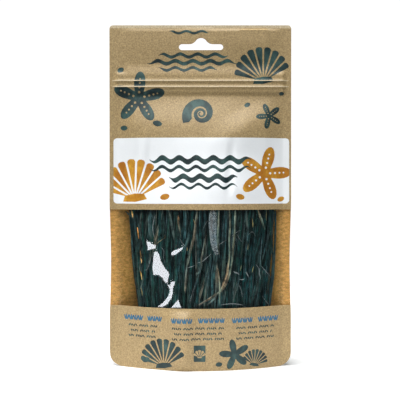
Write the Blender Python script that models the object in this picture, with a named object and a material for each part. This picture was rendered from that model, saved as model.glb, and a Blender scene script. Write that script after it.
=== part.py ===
"""A stand-up kraft pouch of dried sea spaghetti, in metres, +Z up.

The origin is on the floor under the middle of the pouch. The window faces -Y and the width runs along X.
The pouch has kraft panels in front above and below a clear window film, a kraft back, a folded base gusset,
a press-to-close zip and a hang slot. Inside stand long, flat, dried strands, each folded once at its foot.
Every piece is a closed solid, and neighbours that are heat-sealed on the real pouch stay 0.3 mm apart here.
"""

import math
import random

import bmesh
import bpy
from mathutils import Vector

# The pouch's outline
WIDTH = 0.130
HEIGHT = 0.244
TOP_CORNER = 0.0025
FOOT_CORNER = 0.0098
WAIST_PINCH = 0.0009
WAIST_LOW = 0.028
WAIST_TOP = 0.122
SIDE_SEAL = 0.006

# How far the filled pouch swells from its middle plane
FRONT_BULGE = 0.0210
BACK_BULGE = 0.0216
BULGE_TOP = 0.196
BULGE_FULL = 0.044
FOOT_SHRINK = 0.095
SWELL_POWER = 1.1

# The sheets and the room between them
KRAFT = 0.0004
FILM = 0.0003
GAP = 0.0003
MIDDLE_GAP = 0.00015

# The window
WINDOW_LOW = 0.0438
WINDOW_HIGH = 0.1124
LAP = 0.004
LAP_FADE = 0.004

# The hang slot, a flat slot with a dome for a peg
SLOT_WIDTH = 0.0318
SLOT_PLACE = 0.0005
SLOT_LOW = 0.2262
SLOT_HIGH = 0.2307
DOME_RADIUS = 0.0045
DOME_TOP = 0.2351
DOME_FILLET = 0.0060

# The press-to-close zip
ZIP_HEIGHT = 0.2026
ZIP_TALL = 0.0115
ZIP_WIDTH = 0.1160
ZIP_BASE = 0.0004
ZIP_OUTER = 0.00115
ZIP_SWELL = 0.0013
ZIP_FADE = 0.003
RIB_HALF = 0.0006
JAW_INNER = 0.0011
JAW_OUTER = 0.0018
RIB_TIP = 0.00035
JAW_TIP = 0.00015

# The base gusset, an arch of kraft folded up between the two faces
GUSSET = 0.0004
GUSSET_MIDDLE = 0.012
GUSSET_RISE = 0.020
GUSSET_RISE_POWER = 2.5
GUSSET_ARCH_POWER = 5
GUSSET_FOOT = 0.0007
GUSSET_REACH = 0.0555
GUSSET_CLEAR = 0.00055

# The dried strands
STRAND_WIDTH = 0.0030
STRAND_THICKNESS = 0.0016
STRAND_SIDES = 5
LEG_POINTS = 8
BEND_POINTS = 4
CONTENT_HALF = 0.0525
CONTENT_MIDDLE = 0.0018
CONTENT_TAPER = 0.085
LEAN_PIVOT = 0.070
ROOM_AT_MIDDLE = 0.00105
LOWEST_ABOVE_GUSSET = 0.0035
HIGHEST_TIP = 0.152
SEED = 7

FRONT, BACK = -1, 1
# Each shell of folded strands: the face it lies behind, how deep, how many, and how it leans
SHELLS = (
    (FRONT, 0.0013, 9, 0.045),
    (FRONT, 0.0039, 8, -0.060),
    (FRONT, 0.0067, 7, 0.080),
    (FRONT, 0.0100, 5, -0.040),
    (FRONT, 0.0142, 3, 0.050),
    (BACK, 0.0013, 5, -0.050),
    (BACK, 0.0046, 4, 0.060),
    (BACK, 0.0086, 3, -0.030),
    (BACK, 0.0136, 2, 0.040),
)


def clear_scene():
    for obj in list(bpy.data.objects):
        bpy.data.objects.remove(obj)


def material(name, colour, roughness, alpha=1.0):
    made = bpy.data.materials.new(name)
    made.use_nodes = True
    shader = made.node_tree.nodes["Principled BSDF"]
    shader.inputs["Base Color"].default_value = (*colour, 1.0)
    shader.inputs["Roughness"].default_value = roughness
    shader.inputs["Metallic"].default_value = 0.0
    shader.inputs["Alpha"].default_value = alpha
    return made


def smooth(t):
    """0 below 0, 1 above 1, and an even rise between."""
    t = min(1.0, max(0.0, t))
    return t * t * (3 - 2 * t)


def outline_half(z):
    """Half the pouch's width at a height: rounded corners, and a slight waist where it is full."""
    share = min(1.0, max(0.0, (z - WAIST_LOW) / (WAIST_TOP - WAIST_LOW)))
    half = WIDTH / 2 - WAIST_PINCH * math.sin(math.pi * share) ** 2
    for radius, above in ((FOOT_CORNER, z), (TOP_CORNER, HEIGHT - z)):
        if above < radius:
            half -= radius - math.sqrt(max(0.0, radius**2 - (radius - above) ** 2))
    return half


def swell(x):
    """The share of the bulge at a place across the pouch: 1 in the middle, 0 at the side seals."""
    share = abs(x) / (WIDTH / 2 - SIDE_SEAL)
    return max(0.0, 1 - share**2) ** SWELL_POWER


def bulge(z):
    """The share of the bulge at a height: 0 under the zip, 1 at the window's foot, a little less below."""
    above = min(1.0, max(0.0, (z - BULGE_FULL) / (BULGE_TOP - BULGE_FULL)))
    rise = math.cos(math.pi / 2 * above)
    below = max(0.0, BULGE_FULL - z) / BULGE_FULL
    return rise * (1 - FOOT_SHRINK * below**2)


def zip_room(x, z):
    """How far the zip inside pushes a face out."""
    over = ZIP_TALL / 2 + GAP + ZIP_FADE - abs(z - ZIP_HEIGHT)
    past_end = abs(x) - ZIP_WIDTH / 2 - 2 * GAP
    return ZIP_SWELL * smooth(over / ZIP_FADE) * (1 - smooth(past_end / ZIP_FADE))


def face(side, x, z):
    """The distance of a face's inner surface from the middle plane."""
    depth = FRONT_BULGE if side == FRONT else BACK_BULGE
    return MIDDLE_GAP + depth * swell(x) * bulge(z) + zip_room(x, z)


def lap_lift(z):
    """How far the front kraft stands off where it laps over the window film's edges."""
    past = max(WINDOW_LOW - LAP - z, z - WINDOW_HIGH - LAP, 0.0)
    return (FILM + GAP) * (1 - smooth((past - GAP) / LAP_FADE))


def add_object(name, mesh_maker, look):
    """An object whose mesh mesh_maker fills, with its faces pointing out."""
    mesh = bpy.data.meshes.new(name)
    bm = bmesh.new()
    mesh_maker(bm)
    bmesh.ops.recalc_face_normals(bm, faces=bm.faces)
    bm.to_mesh(mesh)
    bm.free()
    mesh.shade_smooth()
    mesh.set_sharp_from_angle(angle=math.radians(40))
    mesh.materials.append(look)
    obj = bpy.data.objects.new(name, mesh)
    bpy.context.scene.collection.objects.link(obj)
    return obj


def column_shares():
    """Where a panel's columns lie across its half width, with some at the crease of each side seal."""
    seal = 1 - SIDE_SEAL / (WIDTH / 2)
    inner = [seal * i / 9 for i in range(-9, 10)]
    outer = [seal + (1 - seal) * t for t in (0.3, 0.65, 1.0)]
    return [-s for s in reversed(outer)] + inner + outer


def rows_between(low, high, step, *more):
    """Heights from low to high, about a step apart, with more of them where the shape turns."""
    count = max(1, round((high - low) / step))
    even = [low + (high - low) * i / count for i in range(count)] + [high]
    wanted = [z for z in more if low < z < high]
    kept = [z for z in even if z in (low, high) or all(abs(z - w) > step / 3 for w in wanted)]
    return sorted(kept + wanted)


def corner_rows():
    """Heights that follow the round corners at the foot and the top."""
    turns = [1 - math.cos(math.radians(a)) for a in (20, 40, 60, 90)]
    return [FOOT_CORNER * t for t in turns] + [HEIGHT - TOP_CORNER * t for t in turns]


def zip_rows():
    """Heights where the faces turn out over the zip and back."""
    half = ZIP_TALL / 2 + GAP
    steps = [half, half + ZIP_FADE / 2, half + ZIP_FADE]
    return [ZIP_HEIGHT - s for s in steps] + [ZIP_HEIGHT + s for s in steps]


def lap_rows():
    """Heights where the kraft steps out over the window film."""
    steps = [LAP + GAP, LAP + GAP + LAP_FADE / 2, LAP + GAP + LAP_FADE]
    return [WINDOW_LOW - s for s in steps] + [WINDOW_HIGH + s for s in steps]


def panel(name, side, rows, lift, thickness, look):
    """A sheet of the pouch: lift(z) is how far it stands off the face's inner surface."""

    def fill(bm):
        shares = column_shares()
        grids = []
        for extra in (thickness, 0.0):
            grid = []
            for z in rows:
                xs = [share * outline_half(z) for share in shares]
                grid.append([bm.verts.new((x, side * (face(side, x, z) + lift(z) + extra), z)) for x in xs])
            grids.append(grid)
        outer, inner = grids
        last_row, last_column = len(rows) - 1, len(shares) - 1
        for r in range(last_row):
            for c in range(last_column):
                for grid in grids:
                    bm.faces.new((grid[r][c], grid[r][c + 1], grid[r + 1][c + 1], grid[r + 1][c]))
        for r in range(last_row):
            for c in (0, last_column):
                bm.faces.new((outer[r][c], outer[r + 1][c], inner[r + 1][c], inner[r][c]))
        for c in range(last_column):
            for r in (0, last_row):
                bm.faces.new((outer[r][c], outer[r][c + 1], inner[r][c + 1], inner[r][c]))

    return add_object(name, fill, look)


def arc(centre, radius, start, end, count):
    """Points on an arc in the XZ plane, from one angle in degrees to another."""
    points = []
    for i in range(count + 1):
        a = math.radians(start + (end - start) * i / count)
        points.append((centre[0] + radius * math.cos(a), centre[1] + radius * math.sin(a)))
    return points


def slot_outline():
    """The hang slot: round ends, and a dome that fillets into the slot's upper edge."""
    end = (SLOT_HIGH - SLOT_LOW) / 2
    reach = SLOT_WIDTH / 2 - end
    dome_z = DOME_TOP - DOME_RADIUS
    fillet_z = SLOT_HIGH + DOME_FILLET
    fillet_x = math.sqrt((DOME_RADIUS + DOME_FILLET) ** 2 - (fillet_z - dome_z) ** 2)
    turn = math.degrees(math.atan2(fillet_z - dome_z, fillet_x))
    right_end = arc((reach, SLOT_LOW + end), end, -90, 90, 8)
    right_fillet = arc((fillet_x, fillet_z), DOME_FILLET, 270, 180 + turn, 4)
    dome = arc((0, dome_z), DOME_RADIUS, turn, 180 - turn, 8)[1:-1]
    left_fillet = arc((-fillet_x, fillet_z), DOME_FILLET, -turn, -90, 4)
    left_end = arc((-reach, SLOT_LOW + end), end, 90, 270, 8)
    rim = right_end + right_fillet + dome + left_fillet + left_end
    return [(x + SLOT_PLACE, z) for x, z in rim]


def slot_cutter():
    """The slot's outline as a block that reaches through both faces. It only cuts."""

    def fill(bm):
        reach = 0.01
        bottom = bm.faces.new([bm.verts.new((x, -reach, z)) for x, z in slot_outline()])
        pushed = bmesh.ops.extrude_face_region(bm, geom=[bottom])["geom"]
        moved = [v for v in pushed if isinstance(v, bmesh.types.BMVert)]
        bmesh.ops.translate(bm, verts=moved, vec=(0, 2 * reach, 0))

    cutter = add_object("hang_slot_cutter", fill, bpy.data.materials["kraft"])
    cutter.hide_render = True
    cutter.display_type = "WIRE"
    return cutter


def cut(obj, cutter):
    modifier = obj.modifiers.new("hang_slot", "BOOLEAN")
    modifier.operation = "DIFFERENCE"
    modifier.solver = "EXACT"
    modifier.object = cutter


def gusset_crest(x):
    """The height of the gusset's fold line, which climbs from the middle into the side seals."""
    return GUSSET_MIDDLE + GUSSET_RISE * (abs(x) / (WIDTH / 2 - SIDE_SEAL)) ** GUSSET_RISE_POWER


def base_gusset(look):
    """The sheet folded up between the faces: its flaps run down inside them to the floor."""

    def fill(bm):
        columns = [GUSSET_REACH * i / 14 for i in range(-14, 15)]
        flaps = [math.sin(math.pi / 2 * i / 7) for i in range(-7, 8)]
        grid = []
        for x in columns:
            crest = gusset_crest(x)
            line = []
            for t in flaps:
                z = GUSSET_FOOT + (crest - GUSSET_FOOT) * (1 - abs(t) ** GUSSET_ARCH_POWER)
                side = BACK if t > 0 else FRONT
                y = t * (face(side, x, z) - GUSSET_CLEAR)
                line.append(bm.verts.new((x, y, z)))
            grid.append(line)
        for a, b in zip(grid, grid[1:]):
            for i in range(len(flaps) - 1):
                bm.faces.new((a[i], b[i], b[i + 1], a[i + 1]))

    made = add_object("base_gusset", fill, look)
    thick = made.modifiers.new("sheet", "SOLIDIFY")
    thick.thickness = GUSSET
    thick.offset = 0
    return made


def zip_strip(name, profile, look):
    """A zip strip: its profile, as (y, z) from the zip's middle, drawn out across the pouch."""

    def fill(bm):
        end = bm.faces.new([bm.verts.new((-ZIP_WIDTH / 2, y, ZIP_HEIGHT + z)) for y, z in profile])
        pushed = bmesh.ops.extrude_face_region(bm, geom=[end])["geom"]
        moved = [v for v in pushed if isinstance(v, bmesh.types.BMVert)]
        bmesh.ops.translate(bm, verts=moved, vec=(ZIP_WIDTH, 0, 0))

    return add_object(name, fill, look)


def zip_strips(look):
    """The groove strip behind the front face, with two jaws, and the rib strip that presses between them."""
    half = ZIP_TALL / 2
    inner = ZIP_OUTER - ZIP_BASE
    lower_jaw = [(-inner, -JAW_OUTER), (JAW_TIP, -JAW_OUTER), (JAW_TIP, -JAW_INNER), (-inner, -JAW_INNER)]
    upper_jaw = [(y, -z) for y, z in reversed(lower_jaw)]
    groove = [(-ZIP_OUTER, -half), (-inner, -half), *lower_jaw, *upper_jaw, (-inner, half), (-ZIP_OUTER, half)]
    rib_nose = [(inner, -RIB_HALF), (-RIB_TIP, -RIB_HALF), (-RIB_TIP, RIB_HALF), (inner, RIB_HALF)]
    rib = [(ZIP_OUTER, -half), (inner, -half), *rib_nose, (inner, half), (ZIP_OUTER, half)]
    zip_strip("zip_groove_strip", groove, look)
    zip_strip("zip_rib_strip", rib, look)


def content_half(z):
    """Half the width that the strands fill at a height."""
    return CONTENT_HALF - CONTENT_TAPER * (WINDOW_HIGH - min(z, WINDOW_HIGH))


def shell_reach(side, depth):
    """How far from the middle a shell of strands has room, at the height where the leaning strands cross."""
    room = (depth + ROOM_AT_MIDDLE) / face(side, 0.0, LEAN_PIVOT)
    return (WIDTH / 2 - SIDE_SEAL) * math.sqrt(max(0.0, 1 - room ** (1 / SWELL_POWER)))


class Leg:
    """One upright run of a folded strand, in its shell."""

    def __init__(self, shell, share, draw):
        self.side, self.depth, _, self.lean = shell
        self.share = share
        self.reach = shell_reach(self.side, self.depth)
        self.wave = draw.uniform(0.0002, 0.0006)
        self.wavelength = draw.uniform(0.045, 0.085)
        self.phase = draw.uniform(0.0, 2 * math.pi)
        self.low = gusset_crest(self.x(0.03)) + LOWEST_ABOVE_GUSSET + draw.uniform(0.0, 0.008)
        self.high = self.room_ends() - draw.uniform(0.0, 0.012)

    def x(self, z):
        across = CONTENT_MIDDLE + self.share * min(content_half(z), self.reach)
        wave = self.wave * math.sin(2 * math.pi * z / self.wavelength + self.phase)
        return across + self.lean * (z - LEAN_PIVOT) * (1 - abs(self.share) ** 3) + wave

    def room_ends(self):
        """The height where the pouch grows too thin for this shell."""
        z = LEAN_PIVOT
        while z < HIGHEST_TIP and face(self.side, self.x(z), z) > self.depth + ROOM_AT_MIDDLE:
            z += 0.001
        return z

    def heights(self, low):
        return [low + (self.high - low) * i / (LEG_POINTS - 1) for i in range(LEG_POINTS)]


def shell_point(leg, x, z):
    return Vector((x, leg.side * (face(leg.side, x, z) - leg.depth), z))


def shell_normal(leg, x, z):
    """The direction out of the shell at a point of it."""
    step = 0.001
    across = shell_point(leg, x + step, z) - shell_point(leg, x - step, z)
    up = shell_point(leg, x, z + step) - shell_point(leg, x, z - step)
    return across.cross(up).normalized()


def folded_path(left, right):
    """The line of a strand that comes down one leg, turns at its foot and climbs the other."""
    low = max(left.low, right.low)
    low += (right.x(low) - left.x(low)) / 2
    start_x, end_x = left.x(low), right.x(low)
    middle, radius = (start_x + end_x) / 2, (end_x - start_x) / 2
    places = [(left.x(z), z) for z in reversed(left.heights(low))]
    for i in range(1, BEND_POINTS + 1):
        a = math.pi * (1 + i / (BEND_POINTS + 1))
        places.append((middle + radius * math.cos(a), low + radius * math.sin(a)))
    places += [(right.x(z), z) for z in right.heights(low)]
    return [(shell_point(left, x, z), shell_normal(left, x, z)) for x, z in places]


def strand(name, path, draw, look):
    """A flat, dried strand swept along a path of points and shell normals, slimmer at its tips."""
    width = STRAND_WIDTH * draw.uniform(0.8, 1.08)
    thickness = STRAND_THICKNESS * draw.uniform(0.8, 1.0)
    twist, turn = math.radians(draw.uniform(-20, 20)), draw.uniform(0.0, 2 * math.pi)

    def fill(bm):
        rings = []
        last = len(path) - 1
        for i, (point, out) in enumerate(path):
            along = (path[min(i + 1, last)][0] - path[max(i - 1, 0)][0]).normalized()
            flat = along.cross(out).normalized()
            thin = flat.cross(along)
            share = i / last
            slim = 0.55 + 0.45 * smooth(min(share, 1 - share) * 12)
            roll = twist * math.sin(3 * math.pi * share + turn)
            ring = []
            for k in range(STRAND_SIDES):
                a = 2 * math.pi * k / STRAND_SIDES + roll
                offset = flat * math.cos(a) * width / 2 + thin * math.sin(a) * thickness / 2
                ring.append(bm.verts.new(point + offset * slim))
            rings.append(ring)
        for a, b in zip(rings, rings[1:]):
            for k in range(STRAND_SIDES):
                n = (k + 1) % STRAND_SIDES
                bm.faces.new((a[k], a[n], b[n], b[k]))
        bm.faces.new(rings[0])
        bm.faces.new(list(reversed(rings[-1])))

    return add_object(name, fill, look)


def strands(look):
    """All the folded strands, shell by shell, each made of two neighbouring legs."""
    draw = random.Random(SEED)
    number = 0
    for shell in SHELLS:
        count = 2 * shell[2]
        legs = [Leg(shell, (2 * i + 1) / count - 1, draw) for i in range(count)]
        for left, right in zip(legs[::2], legs[1::2]):
            number += 1
            strand(f"strand_{number:02d}", folded_path(left, right), draw, look)


def main():
    clear_scene()
    kraft = material("kraft", (0.42, 0.28, 0.14), 0.75)
    film = material("window_film", (0.85, 0.88, 0.88), 0.12, alpha=0.25)
    zip_plastic = material("zip_plastic", (0.75, 0.78, 0.78), 0.35, alpha=0.8)
    seaweed = material("dried_seaweed", (0.018, 0.026, 0.024), 0.5)

    upper_rows = rows_between(WINDOW_HIGH, HEIGHT, 0.011, *lap_rows(), *zip_rows(), *corner_rows())
    lower_rows = rows_between(0.0, WINDOW_LOW, 0.0085, *lap_rows(), *corner_rows())
    window_rows = rows_between(WINDOW_LOW - LAP, WINDOW_HIGH + LAP, 0.0085)
    back_rows = rows_between(0.0, HEIGHT, 0.011, *zip_rows(), *corner_rows())

    upper = panel("front_kraft_upper", FRONT, upper_rows, lap_lift, KRAFT, kraft)
    panel("front_kraft_lower", FRONT, lower_rows, lap_lift, KRAFT, kraft)
    panel("window_film", FRONT, window_rows, lambda z: 0.0, FILM, film)
    back = panel("back_kraft", BACK, back_rows, lambda z: 0.0, KRAFT, kraft)
    cutter = slot_cutter()
    cut(upper, cutter)
    cut(back, cutter)
    base_gusset(kraft)
    zip_strips(zip_plastic)
    strands(seaweed)


main()
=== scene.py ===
"""Looks for a stand-up kraft pouch of dried sea spaghetti, in metres, +Z up, window facing -Y.

The kraft panels, the window film and the strands are fine meshes that stand for the frame's plain solids.
"""

import random
from math import atan, atan2, ceil, cos, degrees, dist, exp, hypot, log, pi, radians, sin, sqrt, tan

import bpy
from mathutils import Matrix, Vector, noise
from mathutils.geometry import delaunay_2d_cdt


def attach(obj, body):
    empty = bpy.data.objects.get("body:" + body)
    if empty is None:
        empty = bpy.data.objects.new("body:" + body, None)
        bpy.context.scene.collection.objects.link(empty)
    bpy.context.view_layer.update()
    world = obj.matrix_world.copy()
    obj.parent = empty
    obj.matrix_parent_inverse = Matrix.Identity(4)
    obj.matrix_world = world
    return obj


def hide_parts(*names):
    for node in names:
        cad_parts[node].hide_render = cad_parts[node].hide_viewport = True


MM = 0.001

# The pouch's outline, as in the frame
WIDTH = 0.130
HEIGHT = 0.244
TOP_CORNER = 0.0025
FOOT_CORNER = 0.0098
WAIST_PINCH = 0.0009
WAIST_LOW, WAIST_TOP = 0.028, 0.122
SIDE_SEAL = 0.006

# How far the filled pouch swells from its middle plane
FRONT_BULGE, BACK_BULGE = 0.0210, 0.0216
BULGE_TOP = 0.196
BULGE_FULL = 0.044
FOOT_SHRINK = 0.095
SWELL_POWER = 1.1

# The sheets
KRAFT = 0.0004
FILM = 0.0003
GAP = 0.0003
MIDDLE_GAP = 0.00015

# The heat-sealed rim: its top strip, the fade into it, and how close together the faces lie in it
TOP_SEAL = 0.2405
SEAL_FADE = 0.0008
SEALED_DEPTH = 0.00001

# The pale strip along the top, a painted highlight of the top edge, and the film's sides, which the heat bar
# dulls
TOP_HIGHLIGHT_LOW, TOP_HIGHLIGHT_HIGH = 0.2419, 0.2450
DULL_FROM = 0.0555
PAST_SIDE = 0.0660

# The window
WINDOW_LOW, WINDOW_HIGH = 0.0438, 0.1124
LAP = 0.004
LAP_FADE = 0.022

# The hang slot
SLOT_WIDTH = 0.0318
SLOT_PLACE = 0.0005
SLOT_LOW, SLOT_HIGH = 0.2262, 0.2307
DOME_RADIUS = 0.0045
DOME_TOP = 0.2351
DOME_FILLET = 0.0060

# The zip under the panels
ZIP_HEIGHT = 0.2026
ZIP_TALL = 0.0115
ZIP_WIDTH = 0.1160
ZIP_SWELL = 0.0013
ZIP_FADE = 0.003

# The gusset's crest, which the strands stand above
GUSSET_MIDDLE = 0.012
GUSSET_RISE = 0.020
GUSSET_RISE_POWER = 2.5

# The white printed band, and how far across the painted highlights over the zip's ridges reach
BAND_LEFT, BAND_RIGHT = -0.0622, 0.0636
BAND_LOW, BAND_HIGH = 0.1166, 0.1633
BAND_CORNER = 0.0026
RIDGE_HIGHLIGHT_SPAN = (-0.0630, 0.0632)

# The sheets' meshes: the distance between points, and the angle past which the film's facets stay sharp
FRONT_STEP = 0.0012
BACK_STEP = 0.0014
FILM_STEP = 0.0006
FILM_SHARP = 6

FRONT, BACK = -1, 1

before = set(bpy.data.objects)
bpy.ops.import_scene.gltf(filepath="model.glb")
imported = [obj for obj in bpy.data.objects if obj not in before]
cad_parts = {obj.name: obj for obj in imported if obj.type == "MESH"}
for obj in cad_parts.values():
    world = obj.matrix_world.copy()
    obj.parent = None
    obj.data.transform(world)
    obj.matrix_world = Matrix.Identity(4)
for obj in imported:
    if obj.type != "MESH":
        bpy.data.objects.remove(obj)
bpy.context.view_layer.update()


def smooth(t):
    """0 below 0, 1 above 1, and an even rise between."""
    t = min(1.0, max(0.0, t))
    return t * t * (3 - 2 * t)


def outline_half(z):
    """Half the pouch's width at a height."""
    share = min(1.0, max(0.0, (z - WAIST_LOW) / (WAIST_TOP - WAIST_LOW)))
    half = WIDTH / 2 - WAIST_PINCH * sin(pi * share) ** 2
    for radius, above in ((FOOT_CORNER, z), (TOP_CORNER, HEIGHT - z)):
        if above < radius:
            half -= radius - sqrt(max(0.0, radius**2 - (radius - above) ** 2))
    return half


def swell(x):
    """The share of the bulge at a place across the pouch."""
    share = abs(x) / (WIDTH / 2 - SIDE_SEAL)
    return max(0.0, 1 - share**2) ** SWELL_POWER


def bulge(z):
    """The share of the bulge at a height."""
    above = min(1.0, max(0.0, (z - BULGE_FULL) / (BULGE_TOP - BULGE_FULL)))
    rise = cos(pi / 2 * above)
    below = max(0.0, BULGE_FULL - z) / BULGE_FULL
    return rise * (1 - FOOT_SHRINK * below**2)


def zip_room(x, z):
    """How far the zip inside pushes a face out."""
    over = ZIP_TALL / 2 + GAP + ZIP_FADE - abs(z - ZIP_HEIGHT)
    past_end = abs(x) - ZIP_WIDTH / 2 - 2 * GAP
    return ZIP_SWELL * smooth(over / ZIP_FADE) * (1 - smooth(past_end / ZIP_FADE))


def face(side, x, z):
    """The distance of a face's inner surface from the middle plane."""
    depth = FRONT_BULGE if side == FRONT else BACK_BULGE
    return MIDDLE_GAP + depth * swell(x) * bulge(z) + zip_room(x, z)


def lap_lift(z):
    """How far the front kraft stands off where it laps over the window film."""
    past = max(WINDOW_LOW - LAP - z, z - WINDOW_HIGH - LAP, 0.0)
    return (FILM + GAP) * (1 - smooth((past - GAP) / LAP_FADE))


def in_seal(x, z):
    """How far a place is inside the heat-sealed rim: 0 in the bag, 1 in the seal."""
    side = smooth((abs(x) - (WIDTH / 2 - SIDE_SEAL)) / SEAL_FADE)
    top = smooth((z - TOP_SEAL) / SEAL_FADE)
    return max(side, top)


# Relief of the printed panels

# Two ridges where the zip's halves press through
RIDGE_HEIGHTS = (0.2042, 0.1999)
RIDGE_OUT = 0.0006
RIDGE_HALF = 0.0013
RIDGE_END, RIDGE_END_FADE = 0.0600, 0.0025

# The easy slopes in which the kraft leaves the zip above and below it
DRAPE_ABOVE_START = 0.0052
DRAPE_ABOVE = 0.0090
DRAPE_BELOW_START = 0.0064
DRAPE_BELOW = 0.0036
DRAPE_BELOW_SHARE = 0.62
DRAPE_END, DRAPE_END_FADE = 0.0500, 0.0080

# Soft upright folds: (place across, half width, height out, lowest, highest)
UPRIGHT_FOLDS = (
    (-0.0405, 0.0045, 0.0009, 0.112, 0.178),
    (0.0215, 0.0042, -0.0012, 0.112, 0.168),
    (-0.0180, 0.0060, -0.0003, 0.112, 0.170),
)
FOLD_DRIFT = 0.0012
FOLD_RISE, FOLD_FALL = 0.015, 0.020

# A soft shoulder on the right of the upper panel, lower near the band, which falls away to the side seal
SHOULDER_PLACE = 0.0310
SHOULDER_START = -0.0060
SHOULDER_END = 0.0585
SHOULDER_OUT = 0.0026
SHOULDER_TOP = 0.1870
SHOULDER_SLANT = 0.5
SHOULDER_HALVED = 0.150
SHOULDER_FADE = 0.018

# The fullness under the zip, greater on the left
CHEST_TOP = 0.193
CHEST_FULL = 0.172
CHEST_END = 0.138
CHEST_OUT = 0.0018
CHEST_MORE_LEFT = 0.45
CHEST_LEFT = -0.035

# The header leans out a little towards the top, and more on the right
HEADER_LOW, HEADER_HIGH = 0.212, 0.234
HEADER_OUT = 0.0007
HEADER_MORE_RIGHT = 1.3
HEADER_TURN = -0.020
HEADER_TURN_LENGTH = 0.060

# An upright crease of the lower panel, steeper on its right
LOWER_CREST = -0.0115
LOWER_OUT = 0.0042
LOWER_HALF_LEFT, LOWER_HALF_RIGHT = 0.0200, 0.0090
LOWER_FADE_TOP = 0.008
LOWER_FOOT = -0.004
LOWER_FADE_FOOT = 0.012

# The slow waves and the fine cockles of a filled sheet
WAVE_OUT = 0.0005
WAVE_SIZE = 0.030
COCKLE_OUT = 0.00006
COCKLE_SIZE = 0.009

# Over what height the upper panel's relief grows from the window's edge
PANEL_EDGE_FADE = 0.012


def hump(t):
    """A smooth hump, 1 at 0 and nothing past 1 or -1."""
    t = abs(t)
    return (1 - t * t) ** 2 if t < 1 else 0.0


def ripples(x, z, size, seed):
    """Soft waves of a sheet, between about -1 and 1."""
    return noise.noise(Vector((x / size, seed, z / size)))


def zip_relief(x, z):
    """The two ridges of the zip."""
    ends = 1 - smooth((abs(x) - RIDGE_END) / RIDGE_END_FADE)
    return RIDGE_OUT * sum(hump((z - height) / RIDGE_HALF) for height in RIDGE_HEIGHTS) * ends


def zip_drape(side, x, z):
    """How far the drape by the zip stands off the plain shape."""
    if z > ZIP_HEIGHT:
        share = 1 - smooth((z - ZIP_HEIGHT - DRAPE_ABOVE_START) / DRAPE_ABOVE)
    else:
        share = DRAPE_BELOW_SHARE * smooth((z - ZIP_HEIGHT + DRAPE_BELOW_START + DRAPE_BELOW) / DRAPE_BELOW)
    ends = 1 - smooth((abs(x) - DRAPE_END) / DRAPE_END_FADE)
    plain = face(side, x, z) - MIDDLE_GAP
    return max(0.0, ZIP_SWELL * share * ends - plain)


def shoulder(x, z):
    if x < SHOULDER_PLACE:
        across = smooth((x - SHOULDER_START) / (SHOULDER_PLACE - SHOULDER_START))
    else:
        across = (SHOULDER_END - x) / (SHOULDER_END - SHOULDER_PLACE)
    top = SHOULDER_TOP + SHOULDER_SLANT * (x - SHOULDER_PLACE)
    out = SHOULDER_OUT * (0.5 + 0.5 * smooth((z - SHOULDER_HALVED) / SHOULDER_FADE))
    return out * max(0.0, across) * smooth((top - z) / SHOULDER_FADE)


def upright_folds(x, z):
    """The upright folds, which drift a little from side to side."""
    relief = 0.0
    for place, half, out, low, high in UPRIGHT_FOLDS:
        reach = smooth((z - low) / FOLD_RISE) * smooth((high - z) / FOLD_FALL)
        drift = FOLD_DRIFT * sin(z * 70 + place * 100)
        relief += out * hump((x - place - drift) / half) * reach
    return relief


def chest(x, z):
    out = CHEST_OUT * (1 + CHEST_MORE_LEFT * (1 - smooth((CHEST_LEFT - x) / CHEST_LEFT)))
    if z > CHEST_FULL:
        return out * smooth((CHEST_TOP - z) / (CHEST_TOP - CHEST_FULL))
    return out * smooth((z - CHEST_END) / (CHEST_FULL - CHEST_END))


def header_lean(x, z):
    out = HEADER_OUT * (1 + HEADER_MORE_RIGHT * smooth((x - HEADER_TURN) / HEADER_TURN_LENGTH))
    return out * smooth((z - HEADER_LOW) / (HEADER_HIGH - HEADER_LOW))


def lower_crease(x, z):
    half = LOWER_HALF_LEFT if x < LOWER_CREST else LOWER_HALF_RIGHT
    fade = smooth((WINDOW_LOW - z) / LOWER_FADE_TOP) * smooth((z - LOWER_FOOT) / LOWER_FADE_FOOT)
    return LOWER_OUT * hump((x - LOWER_CREST) / half) * fade


def panel_relief(side, x, z):
    """How far a kraft panel stands out from the plain swollen shape."""
    loose = (1 - in_seal(x, z)) * min(1.0, swell(x) * 3)
    fill = 0.35 + 0.65 * bulge(z)
    relief = WAVE_OUT * fill * ripples(x, z * 0.7, WAVE_SIZE, 3.0 + side)
    relief += COCKLE_OUT * ripples(x, z, COCKLE_SIZE, 8.0 + side)
    if side == FRONT and z > WINDOW_HIGH:
        from_edge = smooth((z - WINDOW_HIGH - LAP) / PANEL_EDGE_FADE)
        relief += (shoulder(x, z) + chest(x, z) + upright_folds(x, z)) * from_edge + header_lean(x, z)
    if side == FRONT and z < WINDOW_LOW:
        relief += lower_crease(x, z)
    return relief * loose + zip_relief(x, z) + zip_drape(side, x, z)


# The camera and the key light, which the film's facets are turned to

CAMERA_BACK = 0.628
CAMERA_HEIGHT = 0.1272
AIM_SIDE = -0.00025
AIM_HEIGHT = 0.1191
LENS = 78.8
SENSOR = 36.0
KEY_PLACE = (-0.84, -0.94, -0.20)

# What shows behind the window is placed one by one: each picked place is a pixel, counted to the right and
# down in an enlarged part of the photo
PICK_LEFT, PICK_TOP = 105, 200
PICK_ENLARGED = 8.24
PHOTO_SIDE = 400
PHOTO_MIDDLE_ACROSS, PHOTO_MIDDLE_DOWN = 199.85, 200


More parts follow.
